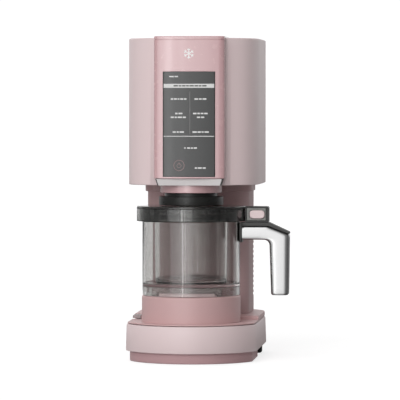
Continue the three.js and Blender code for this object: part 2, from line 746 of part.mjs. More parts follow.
function buildHousing(group) {
  piece(group, 'base_plinth', basePlinth(), SOFT_PINK);
  piece(group, 'base_band', baseBand(), PINK);
  piece(group, 'base_deck', baseDeck(), SOFT_PINK);
  piece(group, 'release_button', releaseButton(), LIGHT_GREY);
  piece(group, 'release_spring', releaseSpring(), STEEL);
  piece(group, 'release_guide', releaseGuide(), NYLON);
  piece(group, 'column_shell', columnShell(), COLUMN_PINK);
  piece(group, 'rear_cover', rearCover(), COLUMN_PINK);
  piece(group, 'cord_gland', cordGland(), RUBBER);
  piece(group, 'power_board', powerBoard(), BOARD);
  piece(group, 'head_shell', headShell(), PINK);
  piece(group, 'head_floor', headFloor(), SOFT_PINK);
  piece(group, 'head_fascia', headFascia(), GLOSS);
  piece(group, 'control_panel', controlPanel(), PANEL);
  piece(group, 'fascia_lip', fasciaLip(), LIGHT_GREY);
  piece(group, 'control_board', controlBoard(), BOARD);
  for (const [name, side] of [['left', -1], ['right', 1]]) {
    piece(group, `front_pad_${name}`, frontPad(padPlaces()[side > 0 ? 1 : 0]), RUBBER);
    piece(group, `rear_foot_${name}`, rearFoot(side), RUBBER);
    piece(group, `bottom_screw_${name}`, bottomScrew(side), STEEL);
    piece(group, `cover_screw_${name}`, coverScrew(side), STEEL);
  }
}

function buildDrive(group) {
  piece(group, 'neck_ring', neckRing(), GLOSS);
  piece(group, 'spindle_collar', spindleCollar(), BLACK);
  piece(group, 'spindle_seal', spindleSeal(), RUBBER);
  piece(group, 'drive_frame', driveFrame(), STEEL);
  piece(group, 'motor_can', motorCan(), STEEL);
  piece(group, 'motor_rotor', motorRotor(), STEEL);
  piece(group, 'motor_pulley', motorPulley(), NYLON);
  piece(group, 'motor_fan', motorFan(), NYLON);
  piece(group, 'drive_belt', driveBelt(), RUBBER);
  piece(group, 'drive_pulley', drivePulley(), NYLON);
  piece(group, 'spindle', spindle(), STEEL);
  piece(group, 'carriage', carriage(), SILVER);
  piece(group, 'guide_rod_left', guideRod(-1), STEEL);
  piece(group, 'guide_rod_right', guideRod(1), STEEL);
  piece(group, 'feed_screw', feedScrew(), STEEL);
  piece(group, 'feed_motor', feedMotor(), STEEL);
}

function buildLift(group) {
  piece(group, 'lift_post', liftPost(), STEEL);
  piece(group, 'lift_ramp_ring', liftRampRing(), NYLON);
  piece(group, 'lift_carrier', liftCarrier(), NYLON);
  piece(group, 'platform', platform(), SOFT_PINK);
  piece(group, 'platform_roller_left', platformRoller(-1), NYLON);
  piece(group, 'platform_roller_right', platformRoller(1), NYLON);
}

function buildBowl(group) {
  piece(group, 'outer_bowl', outerBowl(), SMOKE);
  piece(group, 'key_channel', keyChannel(), SMOKE);
  piece(group, 'handle_mount', handleMount(), BLACK);
  piece(group, 'handle_grip', handleGrip(), SILVER);
  piece(group, 'handle_strap', handleStrap(), BLACK);
  piece(group, 'pint', pint(), CLEAR);
  piece(group, 'lid', lid(), SMOKE);
  piece(group, 'lid_gasket', lidGasket(), RUBBER);
  piece(group, 'lid_tab', lidTab(), BLACK);
  piece(group, 'tab_window', tabWindow(), CLEAR);
  piece(group, 'lid_button', lidButton(), GLOSS);
  piece(group, 'lid_hub', lidHub(), NYLON);
  piece(group, 'paddle', paddle(), SILVER);
}

const housing = new THREE.Group();
housing.position.x = HOUSING_X;
buildHousing(housing);

const iceCreamMaker = new THREE.Group();
iceCreamMaker.add(housing);
buildDrive(iceCreamMaker);
buildLift(iceCreamMaker);
buildBowl(iceCreamMaker);

// The frame's origin is under the middle of the whole machine, on the table.
const bounds = new THREE.Box3().setFromObject(iceCreamMaker);
const middle = bounds.getCenter(new THREE.Vector3());
iceCreamMaker.position.set(-middle.x, -middle.y, -bounds.min.z);

export default iceCreamMaker;
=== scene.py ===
"""Looks of the ice cream maker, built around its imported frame. Lengths here are millimetres unless named."""
import json
import math

import bmesh
import bpy
from mathutils import Matrix, Vector


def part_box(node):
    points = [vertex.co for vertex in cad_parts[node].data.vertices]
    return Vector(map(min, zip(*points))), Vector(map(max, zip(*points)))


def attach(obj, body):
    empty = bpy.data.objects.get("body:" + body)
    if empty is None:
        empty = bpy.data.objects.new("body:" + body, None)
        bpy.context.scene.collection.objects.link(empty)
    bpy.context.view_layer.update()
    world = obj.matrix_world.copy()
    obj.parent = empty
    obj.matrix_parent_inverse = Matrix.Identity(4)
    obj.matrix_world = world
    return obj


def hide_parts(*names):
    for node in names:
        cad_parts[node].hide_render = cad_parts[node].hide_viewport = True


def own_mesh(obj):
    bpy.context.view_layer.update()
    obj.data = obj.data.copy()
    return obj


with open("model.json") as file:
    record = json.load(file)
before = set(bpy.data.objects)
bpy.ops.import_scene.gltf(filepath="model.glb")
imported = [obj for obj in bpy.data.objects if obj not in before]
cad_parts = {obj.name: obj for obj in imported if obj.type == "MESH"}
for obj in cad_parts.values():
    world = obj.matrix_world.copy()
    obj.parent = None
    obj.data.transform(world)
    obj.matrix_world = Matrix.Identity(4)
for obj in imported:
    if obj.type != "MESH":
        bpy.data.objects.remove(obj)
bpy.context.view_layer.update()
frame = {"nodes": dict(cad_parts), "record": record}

MM = 0.001
UP = Vector((0, 0, 1))
ROUND = 144                      # sides of a large turned piece
SMALL_ROUND = 64


def middle(node):
    low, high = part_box(node)
    return (low + high) / 2


SPINDLE = Vector((middle("neck_ring").x, middle("neck_ring").y, 0))
HOUSING = (middle("base_band").x - SPINDLE.x) / MM


# ---- sizes that several pieces share ----
# The bowl, lid and platform are measured from the spindle, and the housing's x from its own middle.
HANDS = (("left", -1), ("right", 1))
PAD_X, PAD_Y, PAD_R = 58, -22, 9  # front pads under the plinth
BUTTON_X, BUTTON_Y = -72, 57      # stem and spring of the release button
PLINTH_LOW, PLINTH_TOP = 0.4, 12.8
BAND_LOW, BAND_TOP = 13.1, 46.7
BLOCK_TOP = 54                    # top of the deck's raised rear block
COLUMN_HALF, COLUMN_BACK = 65.3, 178
COLUMN_LOW, COLUMN_TOP = 54.3, 219.9
COLUMN_WALL = 2.5
LEDGE = 3.1                       # how far the rim under the head stands out
LEDGE_LOW = 210
HEAD_LOW, HEAD_TOP = 220.3, 403.3
FASCIA_HALF = 44
FASCIA_FRONT, FASCIA_BACK = -45, -28.3
FASCIA_LOW, FASCIA_TOP = 228.9, 405.3
CROWN, CROWN_HALF = 2.4, 39       # how far the fascia falls back, and at what distance from its middle
PANEL_HALF = 32.3
PANEL_LOW, PANEL_TOP = 231.2, 361.2
PLATFORM_R, PLATFORM_TOP = 61.7, 82
BOWL_R, BOWL_INSIDE = 61, 58.5
BOWL_LOW, BOWL_TOP = 82.9, 175
SLOT_HALF, SLOT_TOP = 11.4, 88.2  # slot for the platform's key, under the bowl's floor
HANDLE_ROOT = 63.7
HANDLE_TIP = 85.9
LID_R, LID_TOP = 68, 194.3
LID_UNDER = 191.8                 # underside of the lid's top


# ---- camera ----
AZIMUTH = math.radians(5.3)
DISTANCE = 4.06
EYE_HEIGHT = 0.32
FOCAL = 8.1175                   # focal length as a multiple of the picture's width
SIDEWAYS = 0.0220                # where the spindle and the horizon lie, in picture widths from the centre
DOWNWARDS = 0.2375


def make_camera():
    right = Vector((math.cos(AZIMUTH), math.sin(AZIMUTH), 0))
    ahead = Vector((-math.sin(AZIMUTH), math.cos(AZIMUTH), 0))
    data = bpy.data.cameras.new("camera")
    data.sensor_width = 36
    data.lens = FOCAL * 36
    data.clip_start = 0.1
    data.clip_end = 400
    camera = bpy.data.objects.new("camera", data)
    camera.location = SPINDLE - ahead * DISTANCE + UP * EYE_HEIGHT
    aim = ahead * FOCAL + right * SIDEWAYS - UP * DOWNWARDS
    camera.rotation_mode = "QUATERNION"
    camera.rotation_quaternion = aim.to_track_quat("-Z", "Y")
    bpy.context.scene.collection.objects.link(camera)
    bpy.context.scene.camera = camera


# ---- outlines ----
def arc(cx, cy, r, start, end, steps):
    turns = [start + (end - start) * k / steps for k in range(steps + 1)]
    return [(cx + r * math.cos(a), cy + r * math.sin(a)) for a in turns]


def bezier(a, b, c, d, steps):
    points = []
    for k in range(steps + 1):
        t = k / steps
        s = 1 - t
        weights = (s ** 3, 3 * s * s * t, 3 * s * t * t, t ** 3)
        points.append(tuple(sum(w * p[i] for w, p in zip(weights, (a, b, c, d))) for i in (0, 1)))
    return points


def rounded(corners, steps=5):
    """A closed outline of (x, y, radius) corners, each radius worked into a curve."""
    points = []
    for k, (x, y, r) in enumerate(corners):
        here = Vector((x, y))
        before = Vector(corners[k - 1][:2]) - here
        after = Vector(corners[(k + 1) % len(corners)][:2]) - here
        if r <= 0:
            points.append((x, y))
            continue
        half = before.angle(after) / 2
        reach = min(r / math.tan(half), 0.48 * before.length, 0.48 * after.length)
        start = here + before.normalized() * reach
        end = here + after.normalized() * reach
        for i in range(steps + 1):
            t = i / steps
            p = start * (1 - t) ** 2 + here * 2 * t * (1 - t) + end * t * t
            points.append((p.x, p.y))
    return points


def box_outline(x0, x1, y0, y1, r, steps=6):
    return rounded([(x0, y0, r), (x1, y0, r), (x1, y1, r), (x0, y1, r)], steps)


def base_outline(inset, steps=18):
    half, rear = 81 - inset, 82 - inset
    reach = math.asin(half / (86 - inset))
    corner = 48 - inset
    points = arc(0, 15, 86 - inset, -math.pi / 2 - reach, -math.pi / 2 + reach, 4 * steps)
    points += arc(rear - corner, 140, corner, 0, math.pi / 2, steps)
    return points + arc(corner - rear, 140, corner, math.pi / 2, math.pi, steps)


def plinth_outline(inset, steps=18):
    half = 77 - inset
    reach = math.asin(half / (82 - inset))
    back = 64 - inset
    front = arc(0, 15, 82 - inset, -math.pi / 2 - reach, -math.pi / 2 + reach, 4 * steps)
    return front + [(half + 0.5, back), (-half - 0.5, back)]


def head_outline(inset, steps=28):
    side, front, back = 82.3 - inset, inset - 28, 184 - inset
    corner = 45 - inset
    cheek = bezier((44, front), (68 - inset, front + 10.5), (side, front + 20), (side, front + 64), steps)
    rear = arc(side - corner, back - corner, corner, 0, math.pi / 2, steps)
    half = [(0, front), (22, front)] + cheek + rear
    return half + [(-x, y) for x, y in reversed(half[1:])]


def column_outline(grow, steps=8):
    half = COLUMN_HALF + grow
    corner = 16 + grow
    front, back = 76 - grow, COLUMN_BACK + grow
    right_front = arc(half - corner, front + corner, corner, -math.pi / 2, 0, steps)
    return right_front, arc(half - corner, back - corner, corner, 0, math.pi / 2, steps)


def fascia_front(x, depth=0.0):
    """Front surface of the fascia: a shallow crown across its width."""
    return FASCIA_FRONT + depth + CROWN * (x / CROWN_HALF) ** 2


def fascia_outline(inset, steps=28):
    half = FASCIA_HALF - inset
    corner, step, fall = 5, 0.6, 4.4
    flat = half - corner
    front = [(x, fascia_front(x, inset)) for x in (flat * (2 * k / steps - 1) for k in range(steps + 1))]
    edge = front[-1][1]
    turn = [(flat + corner * math.sin(a), edge + step + fall * (1 - math.cos(a)))
            for a in (math.pi / 2 * k / 6 for k in range(1, 7))]
    left = [(-half, FASCIA_BACK)] + [(-x, y) for x, y in reversed(turn)]
    return left + front + turn + [(half, FASCIA_BACK)]


# ---- mesh building ----
def make(name, points, faces, shift=0.0):
    mesh = bpy.data.meshes.new(name)
    at = [SPINDLE + Vector((x + shift, y, z)) * MM for x, y, z in points]
    mesh.from_pydata([tuple(p) for p in at], [], faces)
    shape = bmesh.new()
    shape.from_mesh(mesh)
    bmesh.ops.remove_doubles(shape, verts=shape.verts, dist=2e-6)
    bmesh.ops.recalc_face_normals(shape, faces=shape.faces)
    shape.to_mesh(mesh)
    shape.free()
    piece = bpy.data.objects.new(name, mesh)
    bpy.context.scene.collection.objects.link(piece)
    return piece


def loft(name, loops, shift=0.0, closed=False):
    """Skins a row of loops that have as many points each, with caps unless it closes on itself."""
    n = len(loops[0])
    rows = len(loops)
    faces = []
    for k in range(rows if closed else rows - 1):
        a, b = k * n, ((k + 1) % rows) * n
        faces += [(a + i, a + (i + 1) % n, b + (i + 1) % n, b + i) for i in range(n)]
    if not closed:
        faces.append(tuple(range(n - 1, -1, -1)))
        faces.append(tuple(range((rows - 1) * n, rows * n)))
    return make(name, [p for loop in loops for p in loop], faces, shift)


def level(outline, z):
    return [(x, y, z) for x, y in outline]


def turned(name, profile, sides=ROUND, shift=0.0):
    """A closed profile of (radius, height) points turned about the spindle."""
    loops = []
    for k in range(sides):
        a = 2 * math.pi * k / sides
        loops.append([(r * math.cos(a), r * math.sin(a), z) for r, z in profile])
    return loft(name, loops, shift, closed=True)


def prism(name, outline, low, high, shift=0.0):
    return loft(name, [level(outline, low), level(outline, high)], shift)


def upright(name, outline, front, back, shift=0.0):
    """An outline drawn in x and z, given thickness from front to back."""
    return loft(name, [[(x, front, z) for x, z in outline], [(x, back, z) for x, z in outline]], shift)


def shift_by(x, y=0.0, z=0.0):
    return Matrix.Translation(Vector((x, y, z)) * MM)


def turn_back(y, z):
    """Lays a piece that was turned about the spindle along +Y, at that height."""
    home = Matrix.Translation(-SPINDLE)
    out = Matrix.Translation(SPINDLE + Vector((HOUSING, y, z)) * MM)
    return out @ Matrix.Rotation(math.radians(-90), 4, "X") @ home


def carve(piece, cutter, operation="DIFFERENCE"):
    change = piece.modifiers.new("cut", "BOOLEAN")
    change.object = cutter
    change.operation = operation
    change.solver = "EXACT"
    bpy.context.view_layer.update()
    shaped = bpy.data.meshes.new_from_object(piece.evaluated_get(bpy.context.evaluated_depsgraph_get()))
    piece.modifiers.clear()
    piece.data = shaped
    bpy.data.objects.remove(cutter)
    return piece


def soften(piece, width, segments=3, angle=38):
    bevel = piece.modifiers.new("soft edges", "BEVEL")
    bevel.width = width * MM
    bevel.segments = segments
    bevel.limit_method = "ANGLE"
    bevel.angle_limit = math.radians(angle)
    bevel.miter_outer = "MITER_ARC"
    even = piece.modifiers.new("even shading", "WEIGHTED_NORMAL")
    even.keep_sharp = True
    return piece


def smooth(piece, angle=40):
    for face in piece.data.polygons:
        face.use_smooth = True
    piece.data.set_sharp_from_angle(angle=math.radians(angle))


def fit(piece, body, look, slot, *nodes):
    piece.data.materials.clear()
    piece.data.materials.append(look)
    smooth(piece)
    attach(piece, body)
    if nodes:
        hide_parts(*nodes)
    return piece


# ---- materials ----
CLEAR_IOR = 1.49


def srgb(*levels):
    """A screen colour, with each of its three levels above 10 out of 255, as linear light."""
    return tuple(((level / 255 + 0.055) / 1.055) ** 2.4 for level in levels) + (1.0,)


def shaded(color, by):
    return tuple(min(1.0, c * by) for c in color[:3]) + (1.0,)


def node(tree, kind, **sockets):
    made = tree.nodes.new(kind)
    for name, value in sockets.items():
        made.inputs[name.replace("_", " ")].default_value = value
    return made


def math_node(tree, kind, *values):
    made = tree.nodes.new("ShaderNodeMath")
    made.operation = kind
    for place, value in enumerate(values):
        if isinstance(value, (int, float)):
            made.inputs[place].default_value = value
        else:
            tree.links.new(value, made.inputs[place])
    return made.outputs[0]


def noise(tree, coord, scale, detail=3.0, stretch=(1, 1, 1)):
    spread = tree.nodes.new("ShaderNodeMapping")
    spread.inputs["Scale"].default_value = stretch
    tree.links.new(coord.outputs["Object"], spread.inputs["Vector"])
    made = node(tree, "ShaderNodeTexNoise", Scale=scale, Detail=detail, Roughness=0.55)
    tree.links.new(spread.outputs["Vector"], made.inputs["Vector"])
    return made


def surface(name, color, roughness, metallic=0.0, coat=0.0, coat_roughness=0.06, grain=0.1, grain_scale=2200,
            mottle=0.04, stretch=(1, 1, 1), specular=0.5, patch=14, wear=0.045):
    """Moulded, painted or drawn material: colour drift, a roughness that varies, and fine surface grain."""
    look = bpy.data.materials.new(name)
    look.use_nodes = True
    tree = look.node_tree
    shader = tree.nodes["Principled BSDF"]
    shader.inputs["Metallic"].default_value = metallic
    shader.inputs["Coat Weight"].default_value = coat
    shader.inputs["Coat Roughness"].default_value = coat_roughness
    shader.inputs["Specular IOR Level"].default_value = specular
    coord = tree.nodes.new("ShaderNodeTexCoord")
    drift = noise(tree, coord, patch, 4)
    tint = tree.nodes.new("ShaderNodeMix")
    tint.data_type = "RGBA"
    tint.inputs[6].default_value = shaded(color, 1 - mottle)
    tint.inputs[7].default_value = shaded(color, 1 + mottle)
    tree.links.new(drift.outputs["Fac"], tint.inputs[0])
    tree.links.new(tint.outputs[2], shader.inputs["Base Color"])
    worn = noise(tree, coord, patch * 9, 5, stretch)
    rough = node(tree, "ShaderNodeMapRange", From_Min=0.3, From_Max=0.7,
                 To_Min=max(0.02, roughness - wear), To_Max=roughness + wear)
    tree.links.new(worn.outputs["Fac"], rough.inputs["Value"])
    tree.links.new(rough.outputs["Result"], shader.inputs["Roughness"])
    fine = noise(tree, coord, grain_scale, 2, stretch)
    bump = node(tree, "ShaderNodeBump", Strength=grain, Distance=0.0002)
    tree.links.new(fine.outputs["Fac"], bump.inputs["Height"])
    tree.links.new(bump.outputs["Normal"], shader.inputs["Normal"])
    return look


def clear(name, color, roughness, let_in):
    """Clear plastic with a faint tint, flow marks and handling haze. It lets that share of light in."""
    look = surface(name, color, roughness, grain=0.03, grain_scale=60, mottle=0.03, patch=10)
    shader = look.node_tree.nodes["Principled BSDF"]
    shader.inputs["Transmission Weight"].default_value = 1.0
    shader.inputs["IOR"].default_value = CLEAR_IOR
    tree = look.node_tree
    sight = tree.nodes.new("ShaderNodeLightPath")
    lit = math_node(tree, "MAXIMUM", sight.outputs["Is Shadow Ray"], sight.outputs["Is Diffuse Ray"])
    through = node(tree, "ShaderNodeBsdfTransparent", Color=(let_in, let_in, let_in, 1))
    mixed = tree.nodes.new("ShaderNodeMixShader")
    tree.links.new(lit, mixed.inputs["Fac"])
    tree.links.new(shader.outputs["BSDF"], mixed.inputs[1])
    tree.links.new(through.outputs["BSDF"], mixed.inputs[2])
    tree.links.new(mixed.outputs["Shader"], tree.nodes["Material Output"].inputs["Surface"])
    return look


PINK = surface("pink_satin_plastic", (0.78, 0.635, 0.64, 1), 0.42, grain=0.08, mottle=0.015)
GLOSS = surface("pink_gloss_plastic", (0.62, 0.385, 0.40, 1), 0.27, coat=1.0, coat_roughness=0.11,
                grain=0.003, mottle=0.012, wear=0.006)
SOFT = surface("rose_satin_plastic", srgb(205, 168, 168), 0.4, grain=0.12)
COLUMN = surface("dusky_pink_plastic", srgb(186, 156, 157), 0.42, grain=0.14)
ROSE = surface("rose_base_plastic", srgb(194, 158, 161), 0.5, grain=0.12, specular=0.25)
LIP = surface("light_grey_plastic", srgb(208, 203, 203), 0.4)
KEYCAP = surface("grey_rose_plastic", srgb(166, 153, 153), 0.45, specular=0.3)
PANEL = surface("dark_panel_film", srgb(58, 59, 59), 0.2, coat=0.1, specular=0.35,
                grain=0.005, mottle=0.02, wear=0.015)
BLACK = surface("black_satin_plastic", srgb(33, 33, 32), 0.3, grain=0.1, specular=0.28)
STRAP = surface("dark_grey_plastic", srgb(76, 76, 75), 0.55, grain=0.1, specular=0.25)
PANE = surface("grey_green_pane", srgb(100, 100, 96), 0.3, coat=0.3, grain=0.02)
RUBBER = surface("black_rubber", srgb(24, 24, 24), 0.8, grain=0.5, grain_scale=1400, mottle=0.15)
SILVER = surface("silver_paint", (0.33, 0.33, 0.33, 1), 0.15, metallic=0.9,
                 grain=0.002, mottle=0.01, wear=0.01)
STEEL = surface("drawn_steel", srgb(170, 172, 175), 0.3, metallic=1.0, grain=0.3, stretch=(1, 1, 0.05))
ALUMINIUM = surface("cast_aluminium", srgb(182, 183, 186), 0.45, metallic=1.0, grain=0.5, grain_scale=500)
BOARD = surface("circuit_board", srgb(38, 92, 58), 0.45, coat=0.3, mottle=0.2, patch=180)
NYLON = surface("white_nylon", srgb(222, 220, 212), 0.5, grain=0.2)
PRINT = surface("white_print", srgb(226, 226, 225), 0.5, grain=0.05)
LINE_PRINT = surface("grey_print", srgb(150, 148, 148), 0.5, grain=0.05)
WHITE_PRINT = surface("bright_white_print", srgb(252, 252, 250), 0.4, grain=0.02)
RING_PRINT = surface("rose_print", srgb(140, 118, 118), 0.5, grain=0.05)
SILICONE = clear("clear_silicone", (0.8, 0.8, 0.79, 1), 0.3, 0.9)
SMOKE = clear("smoky_clear_plastic", (0.69, 0.685, 0.675, 1), 0.02, 0.96)
DARK_SMOKE = clear("dark_smoky_plastic", (0.46, 0.46, 0.455, 1), 0.03, 0.85)
FROSTED = clear("frosted_clear_plastic", (0.97, 0.97, 0.965, 1), 0.05, 0.98)

SLOT_LOOKS = {
    "pink_plastic": PINK, "gloss_pink": GLOSS, "soft_pink": SOFT, "column_pink": COLUMN,
    "light_grey": LIP, "panel_grey": PANEL, "black_plastic": BLACK, "rubber": RUBBER,
    "smoky_clear": SMOKE, "clear_plastic": FROSTED, "silver_plastic": SILVER, "steel": STEEL,
    "aluminium": ALUMINIUM, "circuit_board": BOARD, "nylon": NYLON,
}


def dress_cad_nodes():
    """Every CAD node gets its slot's material and small soft edges."""
    slots = {row["node"]: row["material_slot"] for row in frame["record"]["subparts"]}
    for name, piece in frame["nodes"].items():
        piece.data.materials.clear()
        piece.data.materials.append(SLOT_LOOKS[slots[name]])
        weld = piece.modifiers.new("weld", "WELD")
        weld.merge_threshold = 1e-6
        soften(piece, 0.25, 2)


# ---- base ----
def base_plinth():
    wall, floor_top = 2.5, 3.6
    tray = loft("plinth_tray", [
        level(plinth_outline(wall), floor_top), level(plinth_outline(wall), PLINTH_TOP),
        level(plinth_outline(0), PLINTH_TOP), level(plinth_outline(0), PLINTH_LOW + 1),
        level(plinth_outline(0.3), PLINTH_LOW + 0.4), level(plinth_outline(0.9), PLINTH_LOW),
    ], HOUSING)
    pocket_r, pocket_top = PAD_R + 0.3, 2
    for _, side in HANDS:
        pocket = [(0, -1), (pocket_r, -1), (pocket_r, pocket_top), (0, pocket_top)]
        cutter = turned("pocket", pocket, SMALL_ROUND)
        cutter.location = Vector((side * PAD_X + HOUSING, PAD_Y, 0)) * MM
        carve(tray, cutter)
    fit(tray, "housing", ROSE, "soft_pink", "base_plinth")


def base_band():
    low, high = BAND_LOW, BAND_TOP
    spread = 1 / 82               # its foot is wider than its top by this share

    def ring(inset, z):
        grow = 1 + spread * (high - z) / (high - low)
        return [(x * grow, y * grow, z) for x, y in base_outline(inset)]

    wall = loft("band_wall", [
        ring(3, 15.6), ring(3, high), ring(0.8, high), ring(0.25, high - 0.25), ring(0, high - 0.8),
        ring(0, low + 1.2), ring(0.35, low + 0.35), ring(1.2, low),
    ], HOUSING)
    mouth = [(x, min(y, 56.0)) for x, y in base_outline(10)]
    carve(wall, prism("mouth", mouth, 10, 20, HOUSING))
    fit(wall, "housing", PINK, "pink_plastic", "base_band")


def clipped(outline, front):
    """The part of an outline that lies behind a straight front edge."""
    return [(x, max(y, front)) for x, y in outline]


def base_deck():
    plate = loft("deck_plate", [
        level(base_outline(1.2), 47.6), level(base_outline(1.2), 48.6),
        level(base_outline(1.45), 49.1), level(base_outline(2.0), 49.3),
    ], HOUSING)
    front = 42
    block = loft("deck_block", [
        level(clipped(base_outline(0.8), front), 48.4),
        level(clipped(base_outline(0.8), front), BLOCK_TOP - 1.2),
        level(clipped(base_outline(1.15), front + 0.4), BLOCK_TOP - 0.35),
        level(clipped(base_outline(2.0), front + 1.2), BLOCK_TOP),
    ], HOUSING)
    carve(plate, block, "UNION")
    well_r = PLATFORM_R + 0.7
    carve(plate, turned("well", [(0, 40), (well_r, 40), (well_r, 60), (0, 60)]))
    carve(plate, prism("notch", [(-99, 38), (-68.5, 38), (-68.5, 72), (-99, 72)], 46.6, 60, HOUSING))
    fit(soften(plate, 0.35, 2), "housing", SOFT, "soft_pink", "base_deck")


def release_button():
    left, right, front, back = -79.7, -69.1, 42.4, 71.4
    outline = rounded([(left, front, 1.5), (right, front, 0.8), (right, back, 0.8), (left - 0.15, back, 0.8)])
    centre = -74.5

    def drawn_in(wide, deep):
        return [(centre + (x - centre) * wide, BUTTON_Y + (y - BUTTON_Y) * deep) for x, y in outline]

    cap = loft("release_cap", [
        level(outline, 50.1), level(outline, 53.0), level(drawn_in(0.94, 0.975), 53.6),
        level(drawn_in(0.8, 0.9), 53.4),
    ], HOUSING)
    stem = turned("stem", [(0, 24), (3, 24), (3, 51), (0, 51)], 48)
    stem.location = Vector((BUTTON_X + HOUSING, BUTTON_Y, 0)) * MM
    seat = turned("seat", rounded([(0, 44.4, 0), (4.4, 44.4, 0.4), (4.4, 46.4, 0.4), (0, 46.4, 0)]), 48)
    seat.location = stem.location
    carve(cap, stem, "UNION")
    carve(cap, seat, "UNION")
    fit(soften(cap, 0.3, 2), "release_key", KEYCAP, "light_grey", "release_button")


def release_spring():
    """The coil under the release button, built at its full length; the real coil shortens as the button goes
    down.
    """
    low, rise, coils, steps = 23.9, 19.5, 5, 240
    coil_r, wire_r = 4.4, 0.5
    ring = [2 * math.pi * i / 12 for i in range(12)]
    loops = []
    for k in range(steps + 1):
        turn = 2 * math.pi * coils * k / steps
        out = Vector((math.cos(turn), math.sin(turn), 0))
        centre = Vector((BUTTON_X, BUTTON_Y, low + rise * k / steps)) + out * coil_r
        loops.append([tuple(centre + out * wire_r * math.cos(a) + UP * wire_r * math.sin(a)) for a in ring])
    coil = fit(loft("spring_coil", loops, HOUSING), "housing", STEEL, "steel", "release_spring")
    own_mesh(coil)


def feet():
    half, front, back = 7, 132, 160
    for name, side in HANDS:
        x = side * 70
        loops = []
        for z, inset in ((0, 1.2), (0.4, 0.4), (1.4, 0), (11.5, 0), (12.5, 0.6)):
            outline = box_outline(x - half + inset, x + half - inset, front + inset, back - inset, 4)
            loops.append(level(outline, z))
        fit(loft(f"rear_foot_block_{name}", loops, HOUSING), "housing", RUBBER, "rubber", f"rear_foot_{name}")
        profile = rounded([(0, 0, 0), (PAD_R, 0, 0.5), (PAD_R, 1.9, 0.3), (0, 1.9, 0)])
        pad = turned(f"front_pad_disc_{name}", profile, SMALL_ROUND, side * PAD_X + HOUSING)
        pad.data.transform(shift_by(0, PAD_Y))
        fit(pad, "housing", RUBBER, "rubber", f"front_pad_{name}")


# ---- column ----
def column_shell():
    split = 148

    def ring(grow, z):
        corner, _ = column_outline(grow)
        inner, _ = column_outline(-COLUMN_WALL)
        path = [(x, y, z) for x, y in corner]
        back = [(x, y, z) for x, y in reversed(inner)]
        right = path + [(COLUMN_HALF + grow, split, z), (COLUMN_HALF - COLUMN_WALL, split, z)] + back
        left = [(-x, y, z) for x, y, _ in reversed(right)]
        return right + left

    loops = [ring(0, COLUMN_LOW), ring(0, LEDGE_LOW - 0.8), ring(0.4, LEDGE_LOW - 0.2),
             ring(LEDGE - 0.8, LEDGE_LOW), ring(LEDGE, LEDGE_LOW + 0.8),
             ring(LEDGE, COLUMN_TOP - 0.7), ring(LEDGE - 0.6, COLUMN_TOP)]
    fit(loft("column_front", loops, HOUSING), "housing", COLUMN, "column_pink", "column_shell")


def rear_cover():
    split = 148.3

    def ring(z):
        _, corner = column_outline(0)
        _, inner = column_outline(-COLUMN_WALL)
        half_outer = [(COLUMN_HALF, split)] + corner
        half_inner = list(reversed(inner)) + [(COLUMN_HALF - COLUMN_WALL, split)]
        outer = half_outer + [(-x, y) for x, y in reversed(half_outer)]
        back = [(-x, y) for x, y in reversed(half_inner)] + half_inner
        return level(outer + back, z)

    cover = loft("column_back", [ring(COLUMN_LOW), ring(COLUMN_TOP)], HOUSING)
    slots, lowest, pitch, tall = 13, 74, 6.4, 3.2
    for k in range(slots):
        z = lowest + k * pitch
        for _, side in HANDS:
            outline = box_outline(side * 70 - 30, side * 70 + 30, 153, 200, 0.5)
            carve(cover, prism("slot", outline, z, z + tall, HOUSING))
    hole_r, hole_z = 7.3, 66
    hole = turned("hole", [(0, -20), (hole_r, -20), (hole_r, 20), (0, 20)], SMALL_ROUND)
    hole.data.transform(turn_back(COLUMN_BACK, hole_z))
    carve(cover, hole)
    fit(soften(cover, 0.4, 2), "housing", COLUMN, "column_pink", "rear_cover")


# ---- head ----
def head_shell():
    top, low, r = HEAD_TOP, HEAD_LOW, 1.7
    loops = [level(head_outline(3), top - 3), level(head_outline(3), low), level(head_outline(0.6), low),
             level(head_outline(0), low + 0.7)]
    for k in range(6):
        a = math.pi / 2 * k / 5
        loops.append(level(head_outline(r * (1 - math.cos(a))), top - r + r * math.sin(a)))
    fit(loft("head_cover", loops, HOUSING), "housing", PINK, "pink_plastic", "head_shell")


SEAM = ((0, 400.6), (0.7, 400.8), (0.7, 401.2), (0, 401.4))      # groove under the fascia's top edge


def head_fascia():
    low, high, r = FASCIA_LOW, FASCIA_TOP, 1.4
    loops = [level(fascia_outline(0.8), low), level(fascia_outline(0.2), low + 0.3),
             level(fascia_outline(0), low + 0.9)]
    loops += [level(fascia_outline(depth), z) for depth, z in SEAM]
    for k in range(6):
        a = math.pi / 2 * k / 5
        loops.append(level(fascia_outline(r * (1 - math.cos(a))), high - r + r * math.sin(a)))
    front = loft("fascia_skin", loops, HOUSING)
    hollow = [(x * 0.94, min(y + 2.6, -30)) for x, y in fascia_outline(0)]
    hollow = [(x, -20 if y >= -30.001 else y) for x, y in hollow]
    carve(front, prism("hollow", hollow, low + 2, 402, HOUSING))
    over = prism("over", box_outline(-FASCIA_HALF, FASCIA_HALF, -34, 24, 3), HEAD_TOP + 0.3, high, HOUSING)
    carve(front, over, "UNION")
    half = PANEL_HALF + 0.3
    window = box_outline(-half, half, PANEL_LOW - 0.3, PANEL_TOP + 0.3, 0.6, 3)
    carve(front, upright("window", window, -60, -35, HOUSING))
    fit(soften(front, 0.3, 2), "housing", GLOSS, "gloss_pink", "head_fascia")


